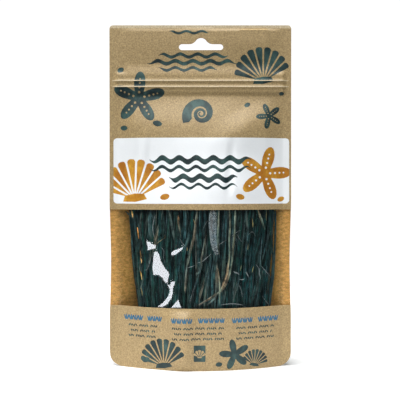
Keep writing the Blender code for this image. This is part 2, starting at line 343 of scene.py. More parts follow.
def on_film(picked):
    """Where picked places lie on the front face, in metres across and up, to a tenth of a millimetre."""
    focal = LENS / SENSOR * PHOTO_SIDE
    tilt = atan((CAMERA_HEIGHT - AIM_HEIGHT) / CAMERA_BACK)
    points = []
    for right, down in picked:
        across = (PICK_LEFT + right / PICK_ENLARGED - PHOTO_MIDDLE_ACROSS) / focal
        sink = tan(tilt + atan((PICK_TOP + down / PICK_ENLARGED - PHOTO_MIDDLE_DOWN) / focal))
        x = z = WINDOW_LOW
        for _ in range(6):
            away = CAMERA_BACK - FRONT_BULGE * swell(x) * bulge(z)
            x, z = across * away, CAMERA_HEIGHT - sink * away
        points.append((round(x / MM, 1) * MM, round(z / MM, 1) * MM))
    return points


# The film's own relief: soft ripples over the strands, and flat facets that catch the key light

# Facets, each an outline of picked places
FILM_FACETS = (
    ((400, 430), (425, 420), (445, 450), (455, 500), (490, 560), (520, 595), (525, 610), (515, 650),
     (510, 690), (495, 680), (470, 640), (440, 615), (395, 615), (388, 560), (395, 490)),
    ((510, 690), (530, 700), (540, 675), (572, 665), (570, 690), (557, 725), (555, 765), (545, 806),
     (506, 858), (462, 882), (428, 880), (480, 838), (515, 795), (528, 757), (528, 725)),
    ((340, 335), (415, 378), (412, 398), (345, 410), (350, 385), (340, 350)),
    ((540, 440), (560, 418), (635, 388), (640, 400), (575, 450), (545, 455)),
    ((540, 884), (600, 820), (625, 888)),
)
FACET_EDGE = 0.0008
FACET_CLEAR = 0.0004

# A stretch under the facets that is calmer and faces a little up, and so stays dark: middle and half size
CALM_X, CALM_HALF_X = -0.0300, 0.0150
CALM_Z, CALM_HALF_Z = 0.0540, 0.0180
CALM_TILT = -0.012
CALM_SHARE = 0.8

# The film's ripples: those that the strands press into it, and slow ones
STRANDY_OUT, STRANDY_SIZE = 0.00012, 0.014
SLOW_OUT, SLOW_SIZE = 0.00015, 0.024

# How far past the window's lower and upper edges the ripples end, and over what length they fade
RIPPLES_BELOW, RIPPLES_ABOVE, RIPPLES_FADE = 0.003, 0.001, 0.004


def edges(rim):
    """The pairs of neighbouring points round a closed outline."""
    return zip(rim, rim[1:] + rim[:1])


def edge_distance(x, z, a, b):
    """How far a point is from the stretch between two others, in the sheet's plane."""
    dx, dz = b[0] - a[0], b[1] - a[1]
    t = ((x - a[0]) * dx + (z - a[1]) * dz) / (dx * dx + dz * dz)
    t = min(1.0, max(0.0, t))
    return hypot(x - a[0] - t * dx, z - a[1] - t * dz)


def inside_outline(x, z, rim):
    inside = False
    for (ax, az), (bx, bz) in edges(rim):
        if (az > z) != (bz > z) and x < (bx - ax) * (z - az) / (bz - az) + ax:
            inside = not inside
    return inside


class Facet:
    """A flat piece of film, turned so that it mirrors the key light to the camera."""

    def __init__(self, outline):
        self.rim = on_film(outline)
        self.x = sum(p[0] for p in self.rim) / len(self.rim)
        self.z = sum(p[1] for p in self.rim) / len(self.rim)
        self.reach = max(hypot(p[0] - self.x, p[1] - self.z) for p in self.rim) + 3 * FACET_EDGE
        self.depth = face(FRONT, self.x, self.z) + FILM
        place = Vector((self.x, -self.depth, self.z))
        to_camera = (Vector((0, -CAMERA_BACK, CAMERA_HEIGHT)) - place).normalized()
        to_key = (Vector(KEY_PLACE) - place).normalized()
        self.normal = (to_camera + to_key).normalized()
        self.depth += FACET_CLEAR - min(self.flat(*p) for p in self.rim)

    def flat(self, x, z):
        """How far the facet's plane stands out from the plain film."""
        n = self.normal
        return self.depth + (n.x * (x - self.x) + n.z * (z - self.z)) / n.y - (face(FRONT, x, z) + FILM)

    def relief(self, x, z, plain):
        """The relief at a point: that of the facet inside it, and a quick fade to the plain one round it."""
        if hypot(x - self.x, z - self.z) > self.reach:
            return plain
        flat = self.flat(x, z)
        if inside_outline(x, z, self.rim):
            return flat
        gap = min(edge_distance(x, z, a, b) for a, b in edges(self.rim))
        share = 1 - smooth(gap / FACET_EDGE)
        return flat * share + plain * (1 - share)


FACETS = [Facet(outline) for outline in FILM_FACETS]


def calm_share(x, z):
    across = smooth(3 * (1 - abs(x - CALM_X) / CALM_HALF_X))
    return across * smooth(3 * (1 - abs(z - CALM_Z) / CALM_HALF_Z))


def film_relief(x, z):
    """How far the film stands out from the plain swollen shape."""
    strandy = STRANDY_OUT * ripples(x * 3.6, z * 0.3, STRANDY_SIZE, 21.0)
    slow = SLOW_OUT * ripples(x, z, SLOW_SIZE, 33.0)
    calm = calm_share(x, z)
    relief = (strandy + slow) * (1 - CALM_SHARE * calm) + CALM_TILT * (z - CALM_Z) * calm
    for facet in FACETS:
        relief = facet.relief(x, z, relief)
    loose = (1 - in_seal(x, z)) * min(1.0, swell(x) * 4)
    above_edge = smooth((z - WINDOW_LOW + RIPPLES_BELOW) / RIPPLES_FADE)
    below_edge = smooth((WINDOW_HIGH + RIPPLES_ABOVE - z) / RIPPLES_FADE)
    return relief * loose * above_edge * below_edge


def front_surface(x, z):
    """The depth of the front kraft's inner side."""
    return face(FRONT, x, z) + lap_lift(z) + panel_relief(FRONT, x, z)


def back_surface(x, z):
    return face(BACK, x, z) + panel_relief(BACK, x, z)


def film_surface(x, z):
    return face(FRONT, x, z) + film_relief(x, z)


# Materials

# A colour Mix node's sockets, by number
MIX_SHARE, MIX_FIRST, MIX_SECOND, MIX_RESULT = 0, 6, 7, 2
SHEEN = 0.45


def feed(target, inputs):
    """Set a node's inputs, by name or number: nodes and sockets are linked, values are set on the input."""
    for key, value in inputs.items():
        socket = target.inputs[key]
        if isinstance(value, bpy.types.Node):
            value = value.outputs[0]
        if isinstance(value, bpy.types.NodeSocket):
            target.id_data.links.new(value, socket)
        elif socket.type == "RGBA":
            socket.default_value = (*value, 1.0)
        else:
            socket.default_value = value


def node(tree, kind, inputs=None, **settings):
    made = tree.nodes.new(kind)
    for name, value in settings.items():
        setattr(made, name, value)
    feed(made, inputs or {})
    return made


def new_material(name):
    made = bpy.data.materials.new(name)
    made.use_nodes = True
    tree = made.node_tree
    return made, tree, tree.nodes["Principled BSDF"]


def noise_texture(tree, scale, detail=3.0, stretch=(1, 1, 1), roughness=0.5):
    """Noise read in metres, stretched along an axis where its share is small."""
    place = node(tree, "ShaderNodeTexCoord").outputs["Object"]
    mapping = node(tree, "ShaderNodeMapping", {"Vector": place, "Scale": stretch})
    inputs = {"Vector": mapping, "Scale": scale, "Detail": detail, "Roughness": roughness}
    return node(tree, "ShaderNodeTexNoise", inputs).outputs["Fac"]


def ramp(value, *stops):
    """A colour ramp from (place, colour) stops, where a single number stands for a grey."""
    made = node(value.id_data, "ShaderNodeValToRGB", {"Fac": value})
    elements = made.color_ramp.elements
    while len(elements) < len(stops):
        elements.new(0.5)
    for element, (place, colour) in zip(elements, stops):
        element.position = place
        element.color = (*colour, 1.0) if isinstance(colour, tuple) else (colour, colour, colour, 1.0)
    return made.outputs["Color"]


def mix_colours(share, first, second, blend="MIX"):
    inputs = {MIX_SHARE: share, MIX_FIRST: first, MIX_SECOND: second}
    made = node(first.id_data, "ShaderNodeMix", inputs, data_type="RGBA", blend_type=blend)
    return made.outputs[MIX_RESULT]


def times(first, second):
    """Two colours multiplied."""
    return mix_colours(1.0, first, second, "MULTIPLY")


def bumped(height, strength, distance):
    """The shading direction over a fine relief."""
    inputs = {"Height": height, "Strength": strength, "Distance": distance}
    return node(height.id_data, "ShaderNodeBump", inputs)


def finish_shader(shader, colour, roughness, normal):
    inputs = {"Base Color": colour, "Roughness": roughness, "Normal": normal}
    feed(shader, {**inputs, "Specular IOR Level": SHEEN})


def paper_fibres(tree):
    """Two crossing sets of short fibres, as a grey value."""
    across = noise_texture(tree, 3400, 2.0, (0.25, 1, 1))
    upward = noise_texture(tree, 3000, 2.0, (1, 1, 0.3))
    return mix_colours(0.5, across, upward)


def kraft_material(name, dark, light, roughness, mottle=1000, grain=(1, 1, 1)):
    """Brown kraft paper under a thin clear coat: faint clouds, fibres and a few dark flecks."""
    made, tree, shader = new_material(name)
    clouds = noise_texture(tree, mottle, 5.0, grain, 0.65)
    fibres = paper_fibres(tree)
    cloudy = ramp(clouds, (0.39, dark), (0.61, light))
    fibred = mix_colours(0.85, cloudy, ramp(fibres, (0.36, 0.33), (0.64, 0.67)), "OVERLAY")
    flecks = ramp(noise_texture(tree, 1500, 2.0, (0.5, 1, 1)), (0.29, 0.70), (0.36, 1.0))
    gloss = ramp(clouds, (0.3, roughness - 0.05), (0.7, roughness + 0.05))
    finish_shader(shader, times(fibred, flecks), gloss, bumped(fibres, 0.25, 0.00005))
    return made


def ink_material(name, dark, light, roughness, wear=0.15):
    """Printing ink on kraft, washed unevenly, a little thin where the paper's fibres drink it."""
    made, tree, shader = new_material(name)
    fibres = paper_fibres(tree)
    clouds = noise_texture(tree, 120, 6.0, (1, 1, 0.7), 0.6)
    between = tuple(a + 0.3 * (b - a) for a, b in zip(dark, light))
    base = ramp(clouds, (0.36, dark), (0.50, between), (0.66, light))
    wear_and_highlight = ramp(fibres, (0.42, 1.0 - wear), (0.62, 1.0))
    finish_shader(shader, times(base, wear_and_highlight), roughness, bumped(fibres, 0.20, 0.00004))
    return made


def film_material(name, roughness, index=1.5):
    """Clear film: it lets light through and mirrors more at a slant. A higher index makes it mirror more."""
    made, tree, shader = new_material(name)
    tree.nodes.remove(shader)
    clear = node(tree, "ShaderNodeBsdfTransparent", {"Color": (0.97, 0.985, 0.99)})
    gloss = node(tree, "ShaderNodeBsdfGlossy", {"Color": (0.93, 0.95, 1.0), "Roughness": roughness})
    fresnel = node(tree, "ShaderNodeFresnel", {"IOR": index})
    leaving = node(tree, "ShaderNodeNewGeometry").outputs["Backfacing"]
    entering = node(tree, "ShaderNodeMath", {0: 1.0, 1: leaving}, operation="SUBTRACT")
    share = node(tree, "ShaderNodeMath", {0: fresnel, 1: entering}, operation="MULTIPLY")
    mixed = node(tree, "ShaderNodeMixShader", {0: share, 1: clear, 2: gloss})
    feed(tree.nodes["Material Output"], {"Surface": mixed})
    return made


def plastic_material(name, colour, roughness):
    """Milky extruded plastic with faint drawn lines."""
    made, tree, shader = new_material(name)
    lines = noise_texture(tree, 900, 2.0, (0.02, 1, 1))
    drawn = ramp(lines, (0.3, tuple(c * 0.93 for c in colour)), (0.7, colour))
    feed(shader, {"Base Color": drawn, "Roughness": roughness, "Normal": bumped(lines, 0.2, 0.00004)})
    return made


def seaweed_material(name, dark, slate, tan, gold, roughness, pale=(0.055, 0.080, 0.085), salt=0.68):
    """Dried seaweed with ridges along it, pale painted highlights along its edges and small salt specks.

    A strand's tone picks its skin, from dark over slate and tan to gold.
    """
    made, tree, shader = new_material(name)
    # The rim attribute gives each point's share of the painted highlight along a strand's edges.
    keys = ("tone", "rim", "grain")
    tone, rim, grain = (node(tree, "ShaderNodeAttribute", attribute_name=key) for key in keys)
    along = {"Vector": grain.outputs["Vector"], "Scale": 0.65, "Detail": 3.0}
    ridges = node(tree, "ShaderNodeTexNoise", along).outputs["Fac"]
    blotches = noise_texture(tree, 330, 4.0, (1, 1, 0.7), 0.65)
    skin = ramp(tone.outputs["Fac"], (0.0, dark), (0.22, slate), (0.5, tan), (0.6, tan), (1.0, gold))
    casts = ramp(noise_texture(tree, 210, 2.0, (1, 1, 0.12)),
                 (0.38, (1.45, 0.97, 0.82)), (0.50, 1.0), (0.62, (0.72, 1.0, 1.12)))
    # The edges are mixed towards the pale colour: a painted highlight.
    edged = mix_colours(rim.outputs["Fac"], times(skin, casts), pale)
    # The ridges' relief is also painted into the colour, lighter on the crests and darker in the furrows:
    # painted highlight and shade.
    ridge_lit_and_shaded = times(edged, ramp(ridges, (0.38, 0.20), (0.62, 2.1)))
    blotched = times(ridge_lit_and_shaded, ramp(blotches, (0.38, 0.35), (0.62, 1.75)))
    specks = ramp(noise_texture(tree, 1700, 1.0), (salt, 0.0), (salt + 0.06, 1.0))
    salted = mix_colours(specks, blotched, tuple(2 * share for share in pale))
    gloss = ramp(blotches, (0.3, roughness - 0.10), (0.7, roughness + 0.12))
    finish_shader(shader, salted, gloss, bumped(ridges, 0.9, 0.0005))
    return made


# Sheets cut to an outline and printed in areas

def ccw(points):
    """The same outline, running anticlockwise."""
    area = sum(a[0] * b[1] - b[0] * a[1] for a, b in edges(points))
    return points if area > 0 else list(reversed(points))


def arc(centre, radius, start, end, count):
    """Points on an arc, from one angle in degrees to another."""
    points = []
    for i in range(count + 1):
        a = radians(start + (end - start) * i / count)
        points.append((centre[0] + radius * cos(a), centre[1] + radius * sin(a)))
    return points


def slot_outline():
    """The hang slot: round ends, and a dome that fillets into the slot's upper edge."""
    end = (SLOT_HIGH - SLOT_LOW) / 2
    reach = SLOT_WIDTH / 2 - end
    dome_z = DOME_TOP - DOME_RADIUS
    fillet_z = SLOT_HIGH + DOME_FILLET
    fillet_x = sqrt((DOME_RADIUS + DOME_FILLET) ** 2 - (fillet_z - dome_z) ** 2)
    turn = degrees(atan2(fillet_z - dome_z, fillet_x))
    right_end = arc((reach, SLOT_LOW + end), end, -90, 90, 12)
    right_fillet = arc((fillet_x, fillet_z), DOME_FILLET, 270, 180 + turn, 6)
    dome = arc((0, dome_z), DOME_RADIUS, turn, 180 - turn, 14)[1:-1]
    left_fillet = arc((-fillet_x, fillet_z), DOME_FILLET, -turn, -90, 6)
    left_end = arc((-reach, SLOT_LOW + end), end, 90, 270, 12)
    rim = right_end + right_fillet + dome + left_fillet + left_end
    return [(x + SLOT_PLACE, z) for x, z in rim]


def sheet_outline(low, high, step):
    """The outline of a panel between two heights."""
    count = max(2, round((high - low) / step))
    heights = [low + (high - low) * i / count for i in range(count + 1)]
    if low == 0.0:
        foot = [FOOT_CORNER * (1 - cos(radians(a))) for a in range(0, 90, 10)]
        heights = foot + [z for z in heights if z > FOOT_CORNER]
    if high == HEIGHT:
        top = [HEIGHT - TOP_CORNER * (1 - cos(radians(a))) for a in range(90, -1, -15)]
        heights = [z for z in heights if z < HEIGHT - TOP_CORNER] + top
    right = [(outline_half(z), z) for z in heights]
    left = [(-x, z) for x, z in reversed(right)]
    across = max(2, round(2 * outline_half(low) / step))
    top_half, low_half = outline_half(high), outline_half(low)
    top = [(top_half - 2 * top_half * i / across, high) for i in range(1, across)]
    bottom = [(-low_half + 2 * low_half * i / across, low) for i in range(1, across)]
    return right + top + left + bottom


def finely(rim, step):
    """A closed outline with its long sides divided, so that none is longer than step."""
    points = []
    for a, b in edges(rim):
        across, up = b[0] - a[0], b[1] - a[1]
        parts = max(1, ceil(dist(a, b) / step))
        points += [(a[0] + across * i / parts, a[1] + up * i / parts) for i in range(parts)]
    return points


def grid_points(outline, step):
    """Points all over a panel, in rows that are shifted by turns."""
    lows = [min(p[i] for p in outline) for i in (0, 1)]
    highs = [max(p[i] for p in outline) for i in (0, 1)]
    across, upward = (round((highs[i] - lows[i]) / step) for i in (0, 1))
    points = []
    for r in range(1, upward):
        z = lows[1] + (highs[1] - lows[1]) * r / upward
        for c in range(across + 1):
            x = lows[0] + (highs[0] - lows[0]) * (c + 0.5 * (r % 2)) / across
            if abs(x) < outline_half(z) - step * 0.4:
                points.append((x, z))
    return points


def look_of(owners, first_print, prints):
    """The look of one triangle: that of the last print over it that may lie there."""
    look = 0
    for order in sorted(o for o in owners if o >= first_print):
        _, wanted, within = prints[order - first_print]
        if within is None or look == within:
            look = wanted
    return look


def printed_triangles(outline, holes, prints, step):
    """The flat points of a sheet, and its triangles, each with the look of the print over it."""
    points, loops = [], []
    for rim in [outline] + holes + [p[0] for p in prints]:
        rim = ccw(finely(rim, step))
        loops.append(list(range(len(points), len(points) + len(rim))))
        points += rim
    points += grid_points(outline, step)
    made = delaunay_2d_cdt([Vector(p) for p in points], [], loops, 0, 1e-7, True)
    flat, triangles, sources = made[0], made[2], made[5]
    first_print = 1 + len(holes)
    kept = [(t, look_of(owners, first_print, prints)) for t, owners in zip(triangles, sources)
            if 0 in owners and not any(0 < o < first_print for o in owners)]
    return flat, kept


def printed_sheet(name, span, step, holes, prints, surface, side, thickness, looks, sharp=50):
    """A closed sheet between two heights. prints are (outline, look, within) areas, later ones on top."""
    flat, kept = printed_triangles(sheet_outline(*span, step), holes, prints, step)
    used = sorted({v for triangle, _ in kept for v in triangle})
    index = {v: i for i, v in enumerate(used)}
    count = len(used)
    outer, inner = [], []
    for v in used:
        x, z = flat[v]
        depth = surface(x, z)
        inside = depth * (1 - in_seal(x, z)) + SEALED_DEPTH * in_seal(x, z)
        outer.append((x, side * (depth + thickness), z))
        inner.append((x, side * min(inside, depth), z))
    faces, slots, rim = [], [], {}
    for triangle, look in kept:
        a, b, c = (index[v] for v in triangle)
        faces += [(a, b, c), (a + count, c + count, b + count)]
        slots += [look, len(looks) - 1]
        for e in ((a, b), (b, c), (c, a)):
            if (e[1], e[0]) in rim:
                del rim[(e[1], e[0])]
            else:
                rim[e] = look
    for (a, b), look in rim.items():
        faces.append((b, a, a + count, b + count))
        slots.append(look)
    if side == BACK:
        faces = [tuple(reversed(f)) for f in faces]
    return sheet_piece(name, outer + inner, faces, slots, looks, sharp)


def add_object(name, data):
    made = bpy.data.objects.new(name, data)
    bpy.context.scene.collection.objects.link(made)
    return made


def sheet_piece(name, verts, faces, slots, looks, sharp):
    mesh = bpy.data.meshes.new(name)
    mesh.from_pydata(verts, [], faces)
    mesh.polygons.foreach_set("material_index", slots)
    mesh.shade_smooth()
    mesh.set_sharp_from_angle(angle=radians(sharp))
    for look in looks:
        mesh.materials.append(look)
    mesh.validate()
    mesh.update()
    piece = add_object(name, mesh)
    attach(piece, "root")
    return piece


# Printed motifs, in millimetres: a seaside set of waves, shells, starfish and pebbles

STAR_ARMS = 5
SCALLOP_SPREAD = 140
SPIRAL_TURNS = 2.3


def scaled(points):
    """Millimetres to metres."""
    return [(x * MM, z * MM) for x, z in points]


def turned(points, centre, angle):
    c, s = cos(radians(angle)), sin(radians(angle))
    return [(centre[0] + x * c - z * s, centre[1] + x * s + z * c) for x, z in points]


def wave(left, right, z, thick, rise, length, phase):
    """A wavy stroke with tapered ends."""
    steps = max(12, int((right - left) / length * 14))
    upper, lower = [], []
    for i in range(steps + 1):
        t = i / steps
        x = left + (right - left) * t
        mid = z + rise * sin(2 * pi * (x - left) / length + phase)
        half = thick / 2 * (0.15 + 0.85 * smooth(min(t, 1 - t) * 9))
        upper.append((x, mid + half))
        lower.append((x, mid - half))
    return [scaled(lower + list(reversed(upper)))]


def starfish(x, z, radius, angle):
    """A starfish with soft tips."""
    rim = []
    steps = 70
    for i in range(steps):
        a = 2 * pi * i / steps
        arm = abs(cos(STAR_ARMS * a / 2)) ** 1.7
        r = radius * (0.30 + 0.70 * arm)
        rim.append((r * cos(a), r * sin(a)))
    return [scaled(turned(rim, (x, z), angle))]


def star_dots(x, z, radius, angle):
    """A dotted line along each arm of a starfish, which is left bare."""
    dots = []
    for arm in range(STAR_ARMS):
        a = 360 * arm / STAR_ARMS
        for share in (0.22, 0.40, 0.57, 0.72):
            size = radius * 0.045 * (1.15 - share * 0.6)
            dot = [(radius * share + size * cos(t), size * sin(t))
                   for t in (2 * pi * k / 8 for k in range(8))]
            dots.append(scaled(turned(dot, (x, z), angle + a)))
    return dots


def scallop(x, z, size, angle, ribs=9):
    """A scallop: ribs fanned from a hinge, with an ear on each side."""
    shapes = []
    for i in range(ribs):
        middle = 90 + SCALLOP_SPREAD * ((i + 0.5) / ribs - 0.5)
        half = SCALLOP_SPREAD / ribs / 2 * 0.80
        lean = abs((i + 0.5) / ribs - 0.5) * 2
        reach = size * (1.0 - 0.16 * lean**2)
        rib = [(size * 0.16 * cos(radians(middle)), size * 0.16 * sin(radians(middle)))]
        for t in (-1, -0.8, -0.5, 0, 0.5, 0.8, 1):
            a = radians(middle + half * t)
            r = reach * (0.93 + 0.07 * sqrt(1 - t * t))
            rib.append((r * cos(a), r * sin(a)))
        shapes.append(scaled(turned(rib, (x, z), angle)))
    ear = size * 0.30
    hinge = [(-ear, -0.02 * size), (-ear * 0.8, 0.12 * size), (0, 0.15 * size), (ear * 0.8, 0.12 * size),
             (ear, -0.02 * size), (0, -0.06 * size)]
    shapes.append(scaled(turned(hinge, (x, z), angle)))
    return shapes


def spiral(x, z, radius, angle):
    """A coiled shell drawn as one swelling stroke."""
    outer, inner = [], []
    steps = int(SPIRAL_TURNS * 26)
    growth = log(9.0) / (2 * pi * SPIRAL_TURNS)
    for i in range(steps + 1):
        a = 2 * pi * SPIRAL_TURNS * i / steps
        r = radius * exp(growth * (a - 2 * pi * SPIRAL_TURNS))
        width = r * 0.50
        outer.append((r * cos(a), r * sin(a)))
        inner.append(((r - width) * cos(a), (r - width) * sin(a)))
    mouth = (outer[-1][0] * 1.02, outer[-1][1] - radius * 0.30)
    return [scaled(turned(outer + [mouth] + list(reversed(inner)), (x, z), angle))]


def pebble(x, z, wide, tall, angle=0.0):
    rim = [(wide / 2 * cos(a) * (1 + 0.06 * sin(2 * a + x)), tall / 2 * sin(a))
           for a in (2 * pi * i / 18 for i in range(18))]
    return [scaled(turned(rim, (x, z), angle))]


def box(left, right, low, high):
    return [(left, low), (right, low), (right, high), (left, high)]


def rounded_box(left, right, low, high, radius):
    corners = ((right - radius, low + radius, -90), (right - radius, high - radius, 0),
               (left + radius, high - radius, 90), (left + radius, low + radius, 180))
    points = []
    for x, z, start in corners:
        points += arc((x, z), radius, start, start + 90, 6)
    return points


# The printed sheets' looks by number, where 0 is the bare kraft, and those of the film, where 0 is clear
# Look 4 is pale kraft for painted highlights: the strip along the top edge and the strips over the zip's
# ridges
TEAL, WHITE, GOLD, PAINTED_HIGHLIGHT, BLUE = 1, 2, 3, 4, 5
SEALED, FLAT = 1, 2

# Starfish, in millimetres: place across and up, radius, and turn in degrees
LARGE_STAR = (-44.0, 192.0, 19.0, 14)
SMALL_STAR = (49.0, 179.0, 9.5, 40)
GOLD_STAR = (45.5, 138.0, 19.5, 75)

# Waves of the white band, in millimetres: height, left end, right end, thickness
BAND_WAVES = ((147.6, -36, 36, 3.9), (141.4, -36, 36, 2.4), (134.6, -22, 26, 3.9), (129.0, -22, 26, 2.0))

# Blocks of the lower panel, in millimetres: left, right, height of the tufts, and the leaves' inset
LOWER_BLOCKS = ((-54.2, -27.0, 36.3, 3.0), (-20.4, 17.0, 35.8, 0.4), (22.0, 55.5, 35.4, 3.0))
TUFT_SIZE = 3.9
LEAF_TOP = 5.6
LEAF_PITCH = 3.75


def areas(shapes, look, within=None):
    return [(shape, look, within) for shape in shapes]


def top_highlight_strip():
    """The pale strip along the top: a painted highlight of the top edge."""
    return areas([box(-PAST_SIDE, PAST_SIDE, TOP_HIGHLIGHT_LOW, TOP_HIGHLIGHT_HIGH)], PAINTED_HIGHLIGHT)


def upper_prints():
    """The header's teal motifs, and the white band with its teal waves and gold shells."""
    teal = starfish(*LARGE_STAR)
    teal += pebble(-57.0, 212.0, 5.0, 3.6, 20) + pebble(-30.5, 173.5, 6.4, 4.2, -15)
    teal += pebble(-54.5, 170.5, 5.0, 3.6) + scallop(45.0, 203.5, 25.0, 8) + starfish(*SMALL_STAR)
    teal += pebble(33.5, 187.0, 4.4, 3.2, 30) + pebble(58.0, 195.0, 3.4, 2.6) + spiral(0.5, 180.5, 14.5, 100)
    for i, (left, right, thick) in enumerate(((-30, 20, 2.4), (-38, 26, 2.8), (-30, 12, 2.2))):
        teal += wave(left, right, 222.4 - 4.8 * i, thick, 1.1, 12.5, 2 * pi * 8 * i / 12.5)
    teal += wave(-22, 6, 239.0, 1.8, 0.8, 11.0, 1.0)
    waves = []
    for z, left, right, thick in BAND_WAVES:
        waves += wave(left, right, z, thick, 1.5, 12.0, z)
    gold = scallop(-46.5, 119.5, 29.0, 6) + pebble(-25.0, 121.5, 6.6, 4.2, 10) + starfish(*GOLD_STAR)
    gold += pebble(28.0, 121.5, 6.0, 4.0, -10) + pebble(57.5, 119.8, 5.0, 3.4, 20)
    # Pale kraft over the zip's ridges and along the top: painted highlights.
    ridge_highlights = [rounded_box(*RIDGE_HIGHLIGHT_SPAN, z - 0.0001, z + 0.0006, 0.0003) for z in RIDGE_HEIGHTS]
    return (
        top_highlight_strip()
        + areas(teal, TEAL)
        + areas(star_dots(*LARGE_STAR) + star_dots(*SMALL_STAR), 0, TEAL)
        + areas(ridge_highlights, PAINTED_HIGHLIGHT)
        + areas([rounded_box(BAND_LEFT, BAND_RIGHT, BAND_LOW, BAND_HIGH, BAND_CORNER)], WHITE)
        + areas(waves, TEAL, WHITE)
        + areas(gold, GOLD, WHITE)
        + areas(star_dots(*GOLD_STAR), WHITE, GOLD)
    )


def tuft_row(left, right, z, size):
    """A row of little seagrass tufts, each of three leaves, with a gap after every few."""
    shapes = []
    count = round((right - left) / (size * 0.92))
    for i in range(count):
        x = left + (right - left) * (i + 0.5) / count
        for turn in (-15, 0, 15):
            if i % 5 < 4 or i == count - 1:
                foot = (x - 0.0185 * turn * size, z - 0.006 * abs(turn) * size)
                shapes += pebble(*foot, size * 0.24, size, turn)
    return shapes


def leaf_row(left, right, z, seed):
    """A row of small leaves, leaning to and fro, with a gap after every few."""
    shapes = []
    count = round((right - left) / 1.35)
    for i in range(count):
        if (i + seed) % 6 < 5:
            x = left + (right - left) * (i + 0.5) / count
            shapes += pebble(x, z, 0.86, 1.95, 30 if (i * 7 + seed) % 3 else -24)
    return shapes


def lower_prints():
    """Three blocks of blue tufts over rows of small leaves, a badge, and shells along the foot."""
    teal, blue = [], []
    for left, right, top, inset in LOWER_BLOCKS:
        blue += tuft_row(left, right, top, TUFT_SIZE)
        for row in range(3):
            narrow = inset + (1.6 if row == 1 else 0.0)
            teal += leaf_row(left + narrow, right - narrow, top - LEAF_TOP - LEAF_PITCH * row, row)
    teal += scallop(-25.5, 2.6, 20.0, 10) + pebble(-38.5, 6.5, 5.6, 3.8, 12) + starfish(24.0, 11.2, 11.0, 30)
    teal += scallop(38.0, 2.6, 11.5, -12) + pebble(13.0, 4.6, 4.6, 3.2)
    badge = rounded_box(-0.0046, 0.0036, 0.0066, 0.0182, 0.0005)
    emblem = scallop(-0.5, 9.6, 5.4, 0, 5)
    return areas(teal, TEAL) + areas(blue, BLUE) + areas([badge], TEAL) + areas(emblem, 0, TEAL)


def film_areas():
    """The facets, and the side edges, where the hot bar dulls the film."""
    seals = [box(side * DULL_FROM, side * PAST_SIDE, 0.030, 0.125) for side in (-1, 1)]
    return areas([facet.rim for facet in FACETS], FLAT) + areas(seals, SEALED)


def back_prints():
    """The back: an empty white panel, with waves and shells round it."""
    panel = rounded_box(-0.046, 0.046, 0.062, 0.150, 0.003)
    teal = scallop(-30.0, 163.0, 19.0, 10) + starfish(28.0, 176.0, 13.0, 30) + spiral(2.0, 182.0, 8.0, 30)
    for i in range(3):
        teal += wave(-46 + 4 * i, 46 - 4 * i, 48.0 - 5.0 * i, 1.6, 1.1, 12.0, i)
    # The pale strip along the top is a painted highlight
    return top_highlight_strip() + areas([panel], WHITE) + areas(teal, TEAL)


# Strands

STRAND_WIDTH = 0.0030
STRAND_THICKNESS = 0.0016
CONTENT_HALF = 0.0525
CONTENT_MIDDLE = 0.0018
CONTENT_TAPER = 0.085
LEAN_PIVOT = 0.070
ROOM_AT_MIDDLE = 0.00105
LOWEST_ABOVE_GUSSET = 0.0035
HIGHEST_TIP = 0.152
SEED = 7

# Each shell of folded strands, as in the frame: face, depth, how many, lean
SHELLS = (
    (FRONT, 0.0013, 9, 0.045),
    (FRONT, 0.0039, 8, -0.060),
    (FRONT, 0.0067, 7, 0.080),
    (FRONT, 0.0100, 5, -0.040),
    (FRONT, 0.0142, 3, 0.050),
    (BACK, 0.0013, 5, -0.050),
    (BACK, 0.0046, 4, 0.060),
    (BACK, 0.0086, 3, -0.030),
    (BACK, 0.0136, 2, 0.040),
)
RING_STEP = 0.0014
STRAND_SIDES = 12

# A strand's slim tips, and its rolling, nicks, creases, curling edges, painted edge highlights and ridges
# along its length
TIP_WIDTH = 0.35
TIP_STEPS = 9
ROLL_WAVES = 55
NICKS, NICK_WAVES = 0.24, 70
CREASES, CREASE_WAVES = 0.16, 90
CURL, CURL_WAVES = 0.18, 40
EDGE_HIGHLIGHT_WAVES = 45
RIDGE_STRETCH = 75


def gusset_crest(x):
    return GUSSET_MIDDLE + GUSSET_RISE * (abs(x) / (WIDTH / 2 - SIDE_SEAL)) ** GUSSET_RISE_POWER


def content_half(z):
    """Half the width that the strands fill at a height."""
    return CONTENT_HALF - CONTENT_TAPER * (WINDOW_HIGH - min(z, WINDOW_HIGH))


def shell_reach(side, depth):
    """How far from the middle a shell of strands has room."""
    room = (depth + ROOM_AT_MIDDLE) / face(side, 0.0, LEAN_PIVOT)
    return (WIDTH / 2 - SIDE_SEAL) * sqrt(max(0.0, 1 - room ** (1 / SWELL_POWER)))


def leaning(z, share, reach, lean, power):
    """The place across of a leaning strand at a height. The outermost ones stand upright."""
    across = CONTENT_MIDDLE + share * min(content_half(z), reach)
    return across + lean * (z - LEAN_PIVOT) * (1 - abs(share) ** power)


